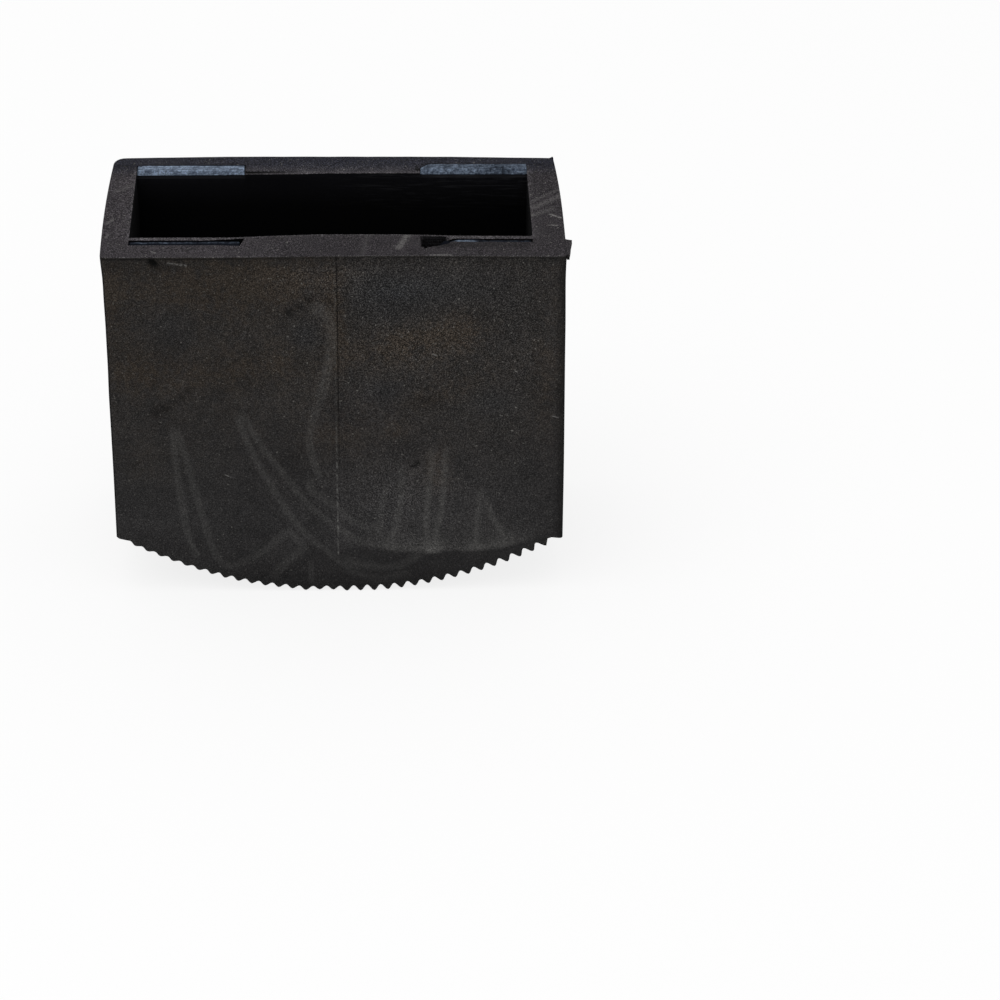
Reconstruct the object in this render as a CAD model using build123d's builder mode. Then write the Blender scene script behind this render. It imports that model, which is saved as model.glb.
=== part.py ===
from build123d import *

import os
from math import asin, atan2, cos, sin

# Rubber foot cap for a ladder stile. X runs across the cap, -Y is its front, Z points up the stile.
# The lowest teeth of the tread touch z = 0, and the outside is centred on x = 0, y = 0.

# Ladder stile that the socket takes
stile_width = 73.0
stile_depth = 25.0
socket_clearance = 0.2
socket_depth = 48.0

# Walls round the socket, which sits a little off centre
wall_front = 8.2
wall_back = 6.2
wall_left = 4.8
wall_right = 6.2

# Outside of the boot
side_height = 60.0
side_bow = 0.4
back_narrowing = 0.6
corner_radius = 1.0
rim_height = 1.2
rim_overhang = 0.25

# Tread: a row of teeth across an arc, with tooth_depth measured before the rounding
sole_radius = 75.0
tooth_count = 34
tooth_depth = 1.5
tooth_rounding = 0.35

# Steel plates that stand in slots in the long walls, behind a thin lip of rubber
plate_length = 20.1
plate_thickness = 2.0
plate_height = 32.0
plate_recess = 0.35
plate_corner_radius = 0.6
plate_end_gap = 0.6
lip_thickness = 1.4
back_lip_drop = 1.1

# Loose steel plate on the socket floor
bearing_thickness = 3.0
bearing_clearance = 0.4
bearing_corner_radius = 2.0

# Socket and outside sizes that follow from the stile and the walls
socket_width = stile_width + 2 * socket_clearance
socket_span = stile_depth + 2 * socket_clearance
cap_width = wall_left + socket_width + wall_right
cap_depth = wall_front + socket_span + wall_back
socket_x = (wall_left - wall_right) / 2
socket_y = (wall_front - wall_back) / 2

# Tread circles: the rounded tips lie on sole_radius, so the sharp tips stand outside it
tooth_angle = 2 * asin(cap_width / 2 / sole_radius) / tooth_count
tip_half_angle = atan2(sole_radius * tooth_angle / 2, tooth_depth)
tip_radius = sole_radius + tooth_rounding * (1 / sin(tip_half_angle) - 1)
root_radius = tip_radius - tooth_depth


def tread_point(radius, step):
    """Point on a tread circle, counted in teeth from the left end of the arc."""
    angle = (step - tooth_count / 2) * tooth_angle
    return radius * sin(angle), sole_radius - radius * cos(angle)


# Heights
ledge_z = tread_point(tip_radius, 0.5)[1]
rim_z = ledge_z + side_height
floor_z = rim_z - socket_depth
rim_plane = Plane.XY.offset(rim_z)

# Plates, by the side of the socket that each stands on
slot_length = plate_length + plate_end_gap
plate_sides = {
    "front_left_plate": (-1, -1),
    "front_right_plate": (1, -1),
    "back_left_plate": (-1, 1),
    "back_right_plate": (1, 1),
}


def socket_corner(side_x, side_y, length, inset):
    """Centre of a strip that runs in from a socket corner, inset into the long wall."""
    x = socket_x + side_x * (socket_width - length) / 2
    y = socket_y + side_y * (socket_span / 2 + inset)
    return x, y


def outline(grow):
    """Plan of the boot, narrower at the back and with bowed short sides, grown by a margin."""
    half_depth = cap_depth / 2 + grow
    front_x = cap_width / 2 + grow
    back_x = front_x - back_narrowing
    bowed_x = (front_x + back_x) / 2 + side_bow
    with BuildSketch() as plan:
        with BuildLine():
            Line((-front_x, -half_depth), (front_x, -half_depth))
            ThreePointArc((front_x, -half_depth), (bowed_x, 0), (back_x, half_depth))
            Line((back_x, half_depth), (-back_x, half_depth))
            ThreePointArc((-back_x, half_depth), (-bowed_x, 0), (-front_x, -half_depth))
        make_face()
        fillet(plan.vertices(), corner_radius + grow)
    return plan.sketch


os.makedirs("parts", exist_ok=True)

# Boot: walls, rim, toothed sole, socket and plate slots in one rubber moulding
tips_and_roots = [tread_point(tip_radius, 0.5)]
for tooth in range(1, tooth_count):
    tips_and_roots.append(tread_point(root_radius, tooth))
    tips_and_roots.append(tread_point(tip_radius, tooth + 0.5))

with BuildPart() as boot:
    with BuildSketch():
        add(outline(0))
    extrude(amount=rim_z)
    with BuildSketch(rim_plane):
        add(outline(rim_overhang))
    extrude(amount=-rim_height)

    with BuildSketch(Plane.XZ) as front_view:
        with BuildLine():
            Polyline(
                (-cap_width, rim_z),
                (-cap_width, ledge_z),
                *tips_and_roots,
                (cap_width, ledge_z),
                (cap_width, rim_z),
                close=True,
            )
        make_face()
        teeth = [vertex for vertex in front_view.vertices() if abs(vertex.X) < cap_width / 2]
        fillet(teeth, tooth_rounding)
    extrude(amount=cap_depth, both=True, mode=Mode.INTERSECT)

    with BuildSketch(rim_plane):
        with Locations((socket_x, socket_y)):
            Rectangle(socket_width, socket_span)
    extrude(amount=-socket_depth, mode=Mode.SUBTRACT)

    with BuildSketch(rim_plane):
        for sides in plate_sides.values():
            with Locations(socket_corner(*sides, slot_length, lip_thickness + plate_thickness / 2)):
                Rectangle(slot_length, plate_thickness)
    extrude(amount=-(plate_recess + plate_height), mode=Mode.SUBTRACT)

    with BuildSketch(rim_plane):
        for side_x in (-1, 1):
            with Locations(socket_corner(side_x, 1, slot_length, lip_thickness / 2)):
                Rectangle(slot_length, lip_thickness)
    extrude(amount=-back_lip_drop, mode=Mode.SUBTRACT)
boot.part.label = "boot"
export_step(boot.part, "parts/boot.step")

# Wall plates: each stands on the bottom of its slot, against the outer end
for plate_name, sides in plate_sides.items():
    with BuildPart() as wall_plate:
        with BuildSketch(rim_plane.offset(-plate_recess)):
            with Locations(socket_corner(*sides, plate_length, lip_thickness + plate_thickness / 2)):
                Rectangle(plate_length, plate_thickness)
        extrude(amount=-plate_height)
        fillet(wall_plate.edges().filter_by(Axis.Y).group_by(Axis.Z)[-1], plate_corner_radius)
    wall_plate.part.label = plate_name
    export_step(wall_plate.part, f"parts/{plate_name}.step")

# Bearing plate: lies loose on the socket floor, under the end of the stile
with BuildPart() as bearing_plate:
    with BuildSketch(Plane.XY.offset(floor_z)):
        with Locations((socket_x, socket_y)):
            RectangleRounded(
                socket_width - 2 * bearing_clearance,
                socket_span - 2 * bearing_clearance,
                bearing_corner_radius,
            )
    extrude(amount=bearing_thickness)
bearing_plate.part.label = "bearing_plate"
export_step(bearing_plate.part, "parts/bearing_plate.step")
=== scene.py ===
import math

import bmesh
import bpy
import numpy as np
from mathutils import Matrix, Vector, noise


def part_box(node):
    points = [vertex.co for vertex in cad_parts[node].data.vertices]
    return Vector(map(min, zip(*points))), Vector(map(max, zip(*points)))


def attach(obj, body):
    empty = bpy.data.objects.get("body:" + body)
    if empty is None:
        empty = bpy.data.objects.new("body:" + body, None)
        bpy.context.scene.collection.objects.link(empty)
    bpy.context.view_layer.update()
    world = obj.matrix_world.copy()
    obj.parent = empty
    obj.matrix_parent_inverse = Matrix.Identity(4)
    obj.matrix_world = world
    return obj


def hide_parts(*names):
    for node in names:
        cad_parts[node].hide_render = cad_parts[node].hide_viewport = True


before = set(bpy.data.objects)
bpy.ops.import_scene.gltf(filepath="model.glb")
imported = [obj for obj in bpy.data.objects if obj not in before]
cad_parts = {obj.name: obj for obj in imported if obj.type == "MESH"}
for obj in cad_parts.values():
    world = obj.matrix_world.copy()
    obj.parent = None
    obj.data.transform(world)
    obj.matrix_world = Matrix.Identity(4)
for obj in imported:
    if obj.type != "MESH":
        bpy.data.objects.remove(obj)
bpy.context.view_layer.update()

# Rubber foot cap for a ladder stile. X runs across the cap, -Y is its front and Z points up.
# Sizes and places are in millimetres, and are turned into metres where Blender gets them.

MM = 0.001


def in_mm(corners):
    return [corner / MM for corner in corners]


# How near counts as the same place, as on an edge of a mouth with both sides of its bevel, and as on a face
EXACT = 0.01
EDGE_REACH = 0.2
RIM_SKIN = 0.05

# Places read from the frame
BOOT_HIGH = in_mm(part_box("boot"))[1]
BEARING_LOW, BEARING_HIGH = in_mm(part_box("bearing_plate"))
PLATES = ("front_left_plate", "front_right_plate", "back_left_plate", "back_right_plate")
RIM_Z = BOOT_HIGH.z
SOCKET_FLOOR = BEARING_LOW.z

# Outside of the boot
HALF_WIDTH = 42.2
HALF_DEPTH = BOOT_HIGH.y - 0.25
RIM_OVERHANG = 0.14
LEAN = 0.22
CORNERS = (
    # side in x, side in y, radius
    (-1, -1, 0.8),
    (1, -1, 0.8),
    (-1, 1, 2.1),
    (1, 1, 0.3),
)
TIP_RISE = 0.35

# Short sides: bow, narrowing and tuck towards the back, flare at the rim, and how they swell lower down
LEFT_SIDE = (0.45, 0.45, 0)
RIGHT_SIDE = (0.23, 0.75, 0.35)
RIM_FLARES = (0.3, 0.1)
LEFT_HOLLOW = 0.11
RIGHT_FULLNESS = 0.15

# The rim isn't quite level: how far it rises along its front edge, along the socket and at the back
FRONT_RISE = ((-42, 0.3), (-20, 0.3), (-3, 0.43), (15, 0.53), (30, 0.34), (42, 0.2))
MOUTH_RISE = ((-42, 0), (-19, -0.03), (-10, 0.34), (-3, 0.54), (11, 0.5), (24, 0.21), (42, 0.05))
BACK_RISE = (0.06, 0.28)
RISE_DEPTH = 14

# The back wall swells out a little left of the middle
BACK_SWELL = ((-42, 0.35), (-20, 0.48), (0, 0.25), (22, 0.16), (34, -0.08), (42, -0.1))

# Socket and slots in the rim, and the gap that shows at the inner end of each plate
BEARING_GAP = 0.4
END_GAPS = {
    "front_left_plate": 0.8,
    "front_right_plate": 0.05,
    "back_left_plate": 0.15,
    "back_right_plate": 0.12,
}
BACK_LIP_DROP = 1.0
SOCKET_STEPS = (1.4, 5, 12)
FRONT_SLOT_STEPS = (0.3, 1.3)
MOUTH_BEVEL = 0.15
SOCKET_X = (BEARING_LOW.x - BEARING_GAP, BEARING_HIGH.x + BEARING_GAP)
SOCKET_Y = (BEARING_LOW.y - BEARING_GAP, BEARING_HIGH.y + BEARING_GAP)

# Uneven edges of the socket and slots: how far down they are uneven, and how far each is shifted
LIP_DEPTH = 1.7
LEFT_END_OUT = 0.22
RIGHT_END_OUT = 0.05
RIGHT_FRONT_OUT = 0.23
RIGHT_LIP_BACK = 0.1
BRIDGE_FORWARD = 0.5
MOUTH_FORWARD = 0.12
LEFT_LIP_THINNED = 0.55
LEFT_SLOT_BACK = 0.2
LEFT_SLOT_WIDENED = 0.4
LEFT_SLOT_SLANT = ((-17, 0), (-15.1, 0.8), (-13.1, 0))
BACK_EDGE_FORWARD = 0.27
CORNER_CUT = (1.5, 1.3)

# Wall plates: play in the slots, how far outer ends and tops stand out, the torn one's cut, and edges
PLATE_FIT = 0.02
LEFT_PLATE_OUT = 0.14
RIGHT_PLATE_OUT = 0.06
FRONT_PLATE_RISE = 0.27
BACK_LEFT_RISE = 0.04
BACK_RIGHT_RISE = 0.2
TORN_PLATE_CUT = 4.2
TORN_PLATE_SLOPE = (-1, 0, 1.3)
TOP_CORNER = 0.25
BACK_TOP_CORNER = 0.12
PLATE_EDGE = 0.06
CUT_SPACING = 0.55
RUBBED_INSETS = (0.3, 0.4, 0.65, 0.8)
BEARING_CORNER = 2
BEARING_EDGE = 0.25

# Tread: a wave of teeth on an arc, worn shallow on the left and standing lower at the right end
SOLE_RADIUS = 75
TOOTH_ANGLE = 0.0349
TOOTH_PHASE = 0.07
TEETH_EACH_SIDE = 16
TOOTH_SAMPLES = 8
TOOTH_DEPTHS = ((-16, 0.5), (-11, 0.55), (-9, 0.8), (-3, 0.85), (-1.5, 0.8), (2, 1.3), (9, 1.2), (16, 1.5))
TIP_WEAR = (
    (-16, -0.25), (-14.6, -0.15), (-13, 0.04), (-11, 0.04), (-9, -0.1), (-7, -0.14), (-3.5, 0.05),
    (-2.5, -0.1), (-1.6, 0.22), (-0.4, 0.25), (0.3, 0.0), (1.2, -0.04), (2, -0.15), (2.6, -0.25),
    (3.8, -0.33), (5, -0.33), (8.5, -0.44), (9.5, -0.52), (11.5, -0.69), (14.6, -0.87), (16, -1.05),
)
LEFT_LEDGE_Z = 12.15
RIGHT_LEDGE_Z = 11.55
SOLE_TOP = 20

# Mould parting line down the middle of the long faces, with a pale bead of flash beside it
PARTING_X = 0.4
PARTING_WIDTH = 0.15
PARTING_DEPTH = 0.08
BEAD_X = -0.06
BEAD_WIDTH = 0.24
BEAD_HEIGHT = 0.05

# Flash left on the right end of the rim: a thin fin, wider at its back end
FLASH_Y = (-19.2, -12.9)
FLASH_OUT = (0.5, 1.25)
FLASH_DROP = 0.8
FLASH_LAG = 0.45
FLASH_DROOP = 0.3

# Torn rubber at the inner end of the front right slot, and the skin of rubber over the rest of that slot
TEAR_X = (15.8, 20.9)
TEAR_FRONT = ((15.8, -16.2), (16.4, -16.6), (17.6, -16.3), (18.6, -15.9), (20.4, -15.2), (21, -14.8))
TEAR_BACK = 0.4
TEAR_DEPTH = 2.4
TEAR_REACH = 3.2
TORN_END_SHIFT = 0.45
SKIN_REACH = 1.0

# Crease in the rim that runs on from the back left slot beside the socket
CREASE_X = (-17.2, -6.5)
CREASE_GAP = 0.58
CREASE_HALF_WIDTH = 0.31
CREASE_DEPTH = 0.18

# Dent under the front edge of the rim: place in x and z, and reach
DENT = (-32.9, 70.8)
DENT_REACH = 0.85
DENT_DEPTH = 0.9

# Bands of pale bloom on the walls: points along the wall and up it, half width and strength
FRONT_SMEARS = (
    (((-30.5, 36), (-30.4, 31.5), (-30, 27), (-29.4, 20.5), (-28.5, 13.3), (-26.9, 7.5)), 0.75, 0.14),
    (((-29.8, 36), (-28.7, 31.5), (-26.8, 22.8), (-25.1, 15), (-23.6, 9), (-21.8, 5.8)), 0.78, 0.14),
    (((-21.8, 5.8), (-19.7, 6), (-16.8, 7.3), (-14, 9.3), (-11.6, 11.6), (-9.7, 13.6)), 0.85, 0.12),
    (((-9.7, 13.6), (-8, 12), (-6.8, 10), (-7.7, 8.6), (-9.4, 7), (-12.8, 3.2)), 0.85, 0.15),
    (((-18.6, 39.5), (-17.3, 35), (-14.7, 28.2), (-9.3, 17.6), (-6, 12.7), (0, 7)), 0.75, 0.15),
    (((0, 7), (3.5, 4.2), (8, 2.8), (13.5, 4.2)), 0.9, 0.1),
    (((-17.6, 39.5), (-14, 32.2), (-10.6, 27), (-7.3, 21.8), (-4, 17.8), (-0.4, 14.6)), 0.7, 0.14),
    (((-0.4, 14.6), (2.6, 12.1), (5, 10.9), (7.5, 10.4), (9.5, 11.2)), 0.8, 0.2),
    (((-5, 25), (-4.9, 22.6), (-1, 19.3), (2.6, 16), (5.3, 14.4), (8, 15)), 0.75, 0.15),
    (((-4, 61.8), (-1.6, 60.5), (-0.7, 56), (-1.1, 51.5), (-1.8, 47.5), (-3.2, 42)), 1.05, 0.18),
    (((-3.2, 42), (-4.6, 37), (-5.2, 33.5), (-4.9, 31), (-3.5, 25.5)), 0.8, 0.15),
    (((-5.3, 6.6), (-5.3, 2)), 0.6, 0.13),
    (((1, 7.5), (5, 5.8), (9.5, 5.3), (13, 6.4), (15.5, 8.5)), 0.8, 0.12),
)
FRONT_FANS = (
    (((12.2, 28), (11.9, 21), (10.9, 15), (9.9, 10.6)), 0.75, 0.32),
    (((9.2, 24.5), (8.2, 18), (7.5, 12.5)), 0.75, 0.2),
    (((17.9, 32), (17.4, 25), (16.9, 19), (16.7, 13.5), (17.4, 10)), 0.65, 0.36),
    (((20.3, 31.5), (20, 25), (19.5, 18), (18.4, 13), (17.9, 10)), 0.65, 0.38),
    (((26.9, 22.5), (26.4, 16), (25.9, 9.6)), 0.65, 0.34),
    (((27.3, 22), (29.4, 16), (31.9, 11)), 0.65, 0.34),
)
FAN_FADE = 0.6
BACK_SMEARS = (
    (((-24, 52), (-20, 40), (-17, 28), (-15, 14)), 0.9, 0.12),
    (((-20, 50), (-15, 38), (-11, 26), (-8, 12)), 0.8, 0.13),
    (((6, 58), (11, 47), (13, 36), (18, 24), (26, 17)), 1.0, 0.11),
    (((16, 15), (23, 14), (31, 18)), 1.1, 0.12),
)
SIDE_SMEARS = (
    (((-12, 50), (-9, 38), (-4, 27), (2, 20)), 0.9, 0.12),
    (((4, 62), (6, 50), (11, 40)), 0.8, 0.10),
)

# Rubbed dark strokes on the front, in the same way
FRONT_RUBS = (
    (((-10, 60), (-6.4, 62.2), (-3.6, 64), (-1.6, 64), (-0.2, 62)), 0.45, 0.45),
    (((-26.5, 45.2), (-29.3, 42.4), (-32, 40.4), (-34, 39.6)), 0.55, 0.36),
    (((5.6, 67), (5.5, 63.5), (5.2, 60)), 0.3, 0.3),
    (((30.5, 65.2), (26.5, 62.9), (23.5, 60.4)), 0.5, 0.25),
    (((13, 41.6), (16, 41.4), (19.5, 42)), 0.8, 0.22),
    (((13.9, 27.6), (14.8, 28.2), (15.6, 28.9)), 0.4, 0.7),
)

# Soft patches on the front: place in x and z, half sizes, amount, and turn in degrees if any
COOLEST = 0.35
WARM_PATCHES = (
    (-41, 64, 3, 9, 0.5), (-15, 67, 15, 6, 0.65), (-36, 48, 6, 4, 0.6), (-16, 49.5, 14, 4, 0.45, 8),
    (0, 58, 1.8, 11, 0.7), (12, 54, 8, 3, 0.65, 12), (24, 57, 6, 4, 0.6, 20),
    (23, 47, 6, 4, 0.2, -20), (19, 27, 2.6, 4.5, 0.4), (-30, 58.5, 4, 5, -0.3),
    (-27, 66, 12, 4.5, 0.35), (-5.5, 55.5, 3, 4, -0.45), (13, 66, 14, 4, -0.4),
    (9, 44, 5, 2.5, -0.35), (0, 34, 6, 4, 0.3), (11, 35.5, 2.5, 2.5, 0.3), (-36, 29, 5, 4, 0.2),
    (9, 62, 8, 5, -0.25), (29, 60, 8, 9, -0.22), (29, 42, 6, 3.5, -0.3), (18, 43, 5, 2, 0.3, 10),
    (38.5, 48, 2.5, 11, 0.25),
)
LEVEL_PATCHES = (
    (-39, 69.7, 2.6, 1.5, -0.22), (-33, 40.2, 2.6, 1.5, -0.26, 25), (-20.7, 39.6, 2.6, 1.2, -0.2),
    (-16, 46, 7, 2, -0.12), (-8.2, 28.8, 2, 3.4, -0.3, -25), (-30, 56, 10, 5, -0.08),
    (-5.5, 55.5, 3, 3.5, -0.16), (2.6, 57.5, 1.4, 2.5, -0.2), (10, 62, 9, 5, -0.1, 12),
    (10.5, 44, 5, 2.4, -0.06), (5.3, 42, 2, 2.5, 0.15, -30), (13.5, 32.5, 3, 3.5, -0.06, -30),
    (19.2, 26.8, 2.4, 4, 0.3), (-6, 67.5, 5, 2, 0.08), (14, 19, 16, 9, 0.42),
    (39.5, 55, 1.6, 7, 0.22), (31, 47, 3, 20, -0.06), (-20, 5.5, 14, 2.5, -0.18, -20),
    (-9, 5, 5, 2.5, -0.2, -10), (-38, 53, 5, 2.5, -0.12), (18, 53, 12, 6, 0.1),
    (14.5, 66.5, 4, 3, 0.1), (-27.5, 16, 4, 7, 0.15), (-9.5, 12.5, 3, 2, 0.22),
    (0.5, 12.5, 1.8, 4, 0.2), (9, 38, 3.5, 3, 0.15), (-36, 20, 6, 10, 0.1), (-33, 46, 8, 4, 0.1),
    (-12, 44, 6, 6, 0.1), (33, 63, 7, 6, -0.1), (-31, 69.8, 6, 1.6, -0.18),
)
SPECKLED_PATCHES = (
    (-6, 67.5, 7, 3, 0.35), (4, 66, 6, 4, 0.4), (14, 53, 9, 4, 0.3, 12), (17, 10, 7, 1.5, 0.5),
    (10, 21, 9, 7, 0.45),
)

# Wiped place on the lower right of the front: its edge, the middle of its arcs, and the bloom banked on it
WIPED_EDGE = (
    (0, 10.2), (4.5, 9.9), (8, 9.6), (11, 9.1), (16, 8.8), (18, 8.6), (20.5, 9.2), (24, 9), (27, 9.2),
    (30, 9.6), (33.5, 10.5), (37, 11.6), (40, 13),
)
WIPE_ARCS = (7, 26)
BANKED_BLOOM = (
    (3, 0.06), (8, 0.25), (10, 0.6), (12, 0.36), (16, 0.4), (17.2, 1.1), (18.6, 0.9), (20, 0.34),
    (22, 0.14), (24, 0.35), (26.3, 0.7), (28, 0.36), (30, 0.5), (31.2, 0.65), (33, 0.35), (36, 0.1),
    (39, 0),
)

# Single scratches: two ends, width and strength, in x and z on the front and in x and y on the level faces
RIM_SCRATCHES = (
    ((39.8, -3.2), (41.7, -4.6), 0.42, 1.0),
    ((39.6, -7.5), (41.0, -7.7), 0.4, 0.8),
    ((36.8, -0.6), (42.1, 4.4), 1.2, 0.3),
    ((36.9, 2.2), (41.6, 6.6), 0.7, 0.26),
    ((36.8, -3.6), (40.2, -1.0), 1.2, 0.24),
    ((13.3, -12.2), (11.7, -17.0), 1.1, 0.5),
    ((6.2, -12.2), (5.1, -19.4), 0.8, 0.12),
    ((-42.0, -6.2), (-40.9, -4.6), 0.6, 0.45),
    ((-41.9, -11.6), (-41.4, -10.4), 0.5, 0.36),
    ((-40.9, 6.6), (-38.2, 9.2), 1.2, 0.2),
    ((-33.5, -17.3), (-32.4, -18.2), 0.3, 0.56),
    # The last one is not a scratch but a painted highlight along the front edge of the rim
    ((17.6, -19.7), (21.2, -19.7), 0.4, 0.65),
)
FRONT_SCRATCHES = (
    ((-30.2, 71.2), (-26.9, 70.7), 0.3, 0.56),
    ((-21.0, 26.1), (-20.0, 25.6), 0.18, 0.7),
    ((40.1, 38.6), (41.3, 38.2), 0.16, 0.8),
    ((18.0, 52.0), (18.6, 51.6), 0.25, 0.65),
)
BEARING_SCRATCHES = (
    ((-22, -4), (-9, 2.5), 0.25, 0.5),
    ((8, 7), (14, 1.5), 0.2, 0.5),
    ((20, -7), (30, -5.5), 0.25, 0.4),
    ((-31, 8), (-27, 5), 0.2, 0.5),
)

# Colours, and the painted masks that the rubber reads
COOL_RUBBER = (0.0186, 0.0194, 0.0211, 1)
WARM_RUBBER = (0.0240, 0.0194, 0.0156, 1)
WIPED_RUBBER = (0.0142, 0.0138, 0.0142, 1)
FRONT_BLOOM = (0.098, 0.096, 0.092, 1)
RIM_DARK = (0.0214, 0.0190, 0.0214, 1)
RIM_PALE = (0.0272, 0.0242, 0.0268, 1)
RIM_BACK = (0.0096, 0.0104, 0.0158, 1)
RIM_BLOOM = (0.098, 0.092, 0.098, 1)
SPECK_PALE = (0.15, 0.145, 0.135, 1)
SCRATCH_PALE = (0.17, 0.165, 0.16, 1)
# Black for painted shade
SHADE_BLACK = (0.002, 0.002, 0.002, 1)
# Socket colours: near black painted as shade, lighter where light is painted falling in, and rubbed
SOCKET_DEEP = (0.0007, 0.0007, 0.0009, 1)
SOCKET_LIT = (0.004, 0.004, 0.005, 1)
SOCKET_RUBBED = (0.014, 0.014, 0.016, 1)
ZINC_DARK = (0.045, 0.058, 0.085, 1)
ZINC_PALE = (0.27, 0.34, 0.45, 1)
# Near black where rubber has rubbed off on the plates, and painted shade where they lie in their slots
RUBBED_AND_SHADED_ZINC = (0.006, 0.007, 0.010, 1)
STEEL_DARK = (0.31, 0.31, 0.32, 1)
STEEL_PALE = (0.42, 0.42, 0.43, 1)
STEEL_STAIN = (0.16, 0.14, 0.12, 1)
STEEL_SCRATCH = (0.62, 0.62, 0.62, 1)
RUBBER_MASKS = ("rim", "inside", "bloom", "wiped", "seam", "painted_shade", "warm", "level", "coarse", "front")

# Places where tones change: the rim to the right and back, and the rubbed and the lit part of the socket
RIM_DARKER_X = (-22.0, 0.0)
RIM_BACK_Y = (12.0, 17.5)
RUBBED_X, RUBBED_Z = (-8.0, 12.0), (62.0, 71.5)
LIT_Y, LIT_Z = (8.0, 12.0), (64.0, 71.0)

# Camera that took the view, with its focal length counted in pixels of a square image
IMAGE_SIDE = 1000
FOCAL_PIXELS = 3944
CAMERA_TARGET = Vector((31.17, 0, 7.86))
CAMERA_DISTANCE = 767.6
CAMERA_AZIMUTH = math.radians(1.715)
CAMERA_ELEVATION = math.radians(31.838)
CAMERA_ROLL = math.radians(0.584)

# Light of the white surroundings as it falls on the cap and as it is seen, key light, and floor
WORLD_LIGHT = 0.74
WORLD_SEEN = 1.0
KEY_PLACE = Vector((-250, -300, 1000))
KEY_SIZE = 900
KEY_POWER = 4.2
WHITE = (1, 1, 1, 1)
FLOOR_SIDE = 8000
FLOOR_GREY = (0.93, 0.93, 0.93, 1)
FLOOR_WHITENED = 0.82


def share_of(low, high, value):
    """0 below low, 1 above high and a straight slope between them."""
    return np.clip((value - low) / (high - low), 0, 1)


def smooth(low, high, value):
    """0 below low, 1 above high and an even slope between them."""
    t = share_of(low, high, value)
    return t * t * (3 - 2 * t)


def at(place, value, reach=EDGE_REACH):
    """True within reach of a place."""
    return np.abs(value - place) < reach


def between(low, high, soft, value):
    """1 from low to high, fading to 0 over a soft distance outside them."""
    return smooth(low - soft, low, value) * (1 - smooth(high, high + soft, value))


def wobble(points, size):
    """Soft noise from -1 to 1 at each point, with bumps of about that size."""
    return np.array([noise.noise(Vector(point) / size) for point in points])


def wobble_along(values, size):
    """The same along a single line."""
    return wobble([(value, 0, 0) for value in values], size)


def smooth_route(points, steps=14):
    """A smooth line through given points."""
    p = np.array([points[0], *points, points[-1]], float)
    t = np.linspace(0, 1, steps, endpoint=False)[:, None]
    spans = [
        0.5 * (2 * b + (c - a) * t + (2 * a - 5 * b + 4 * c - d) * t**2 + (3 * b - a - 3 * c + d) * t**3)
        for a, b, c, d in zip(p, p[1:], p[2:], p[3:])
    ]
    return np.vstack([*spans, p[-1:]])


def smear(places, route, half_width, fade):
    """A soft band along a route: 1 on it, fading at its sides and ends, and by a share towards its start."""
    line = smooth_route(route)
    gap = np.linalg.norm(places[:, None] - line, axis=2)
    along = gap.argmin(1) / (len(line) - 1)
    ends = smooth(-0.04, 0.06, along) * smooth(-0.04, 0.06, 1 - along)
    return (1 - smooth(0.6, 1.25, gap.min(1) / half_width)) * ends * (1 - fade + fade * along)


def along_points(points, value):
    """Height of a line through points, at a value along it."""
    across, up = np.array(points).T
    return np.interp(value, across, up)


def patch(places, x, z, half_x, half_z, amount, turn=0):
    """A soft round or drawn-out patch: its full amount in the middle, fading all round."""
    c, s = math.cos(math.radians(turn)), math.sin(math.radians(turn))
    u, v = places[:, 0] - x, places[:, 1] - z
    return amount * np.exp(-(((u * c + v * s) / half_x) ** 2) - ((v * c - u * s) / half_z) ** 2)


# Modelling helpers


def edit(obj):
    """Go into edit mode on one object alone."""
    bpy.ops.object.select_all(action="DESELECT")
    obj.select_set(True)
    bpy.context.view_layer.objects.active = obj
    bpy.ops.object.mode_set(mode="EDIT")


def leave_edit():
    bpy.ops.object.mode_set(mode="OBJECT")


def new_piece(name):
    """Name the primitive that was just added and put its place into its mesh."""
    obj = bpy.context.object
    obj.name = name
    obj.data.name = name
    bpy.ops.object.transform_apply(location=True, rotation=True, scale=True)
    return obj


def new_block(name, low, high):
    """A box between two corners."""
    bpy.ops.object.select_all(action="DESELECT")
    bpy.ops.mesh.primitive_cube_add(size=MM, location=(low + high) / 2 * MM, scale=high - low)
    return new_piece(name)


def cut_across(place, normal, **settings):
    """Cut the whole edited mesh along a plane."""
    bpy.ops.mesh.select_all(action="SELECT")
    bpy.ops.mesh.bisect(plane_co=Vector(place) * MM, plane_no=normal, **settings)


def choose_faces(obj, test):
    """Select the faces of the edited mesh whose centre and normal pass a test."""
    bpy.ops.mesh.select_mode(type="FACE")
    bpy.ops.mesh.select_all(action="DESELECT")
    mesh = bmesh.from_edit_mesh(obj.data)
    for face in mesh.faces:
        if test(face.calc_center_median() / MM, face.normal):
            face.select_set(True)
    bmesh.update_edit_mesh(obj.data)


def choose_edges(obj, test):
    """Select the edges of the edited mesh that pass a test on their two ends and their angle."""
    bpy.ops.mesh.select_mode(type="EDGE")
    bpy.ops.mesh.select_all(action="DESELECT")
    mesh = bmesh.from_edit_mesh(obj.data)
    for edge in mesh.edges:
        start, end = (vertex.co / MM for vertex in edge.verts)
        if test(start, end, edge.calc_face_angle(0)):
            edge.select_set(True)
    bmesh.update_edit_mesh(obj.data)


def extrude(x=0, y=0, z=0):
    bpy.ops.mesh.extrude_region_move(TRANSFORM_OT_translate={"value": Vector((x, y, z)) * MM})


def bevel(obj, width, segments, test):
    """Bevel the edges that pass a test on their two ends and their angle."""
    choose_edges(obj, test)
    bpy.ops.mesh.bevel(offset=width * MM, segments=segments, affect="EDGES", clamp_overlap=True)


def read_points(mesh):
    co = np.empty(len(mesh.vertices) * 3)
    mesh.vertices.foreach_get("co", co)
    return co.reshape(-1, 3) / MM


def write_points(mesh, co):
    mesh.vertices.foreach_set("co", co.ravel() * MM)
    mesh.update()


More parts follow.
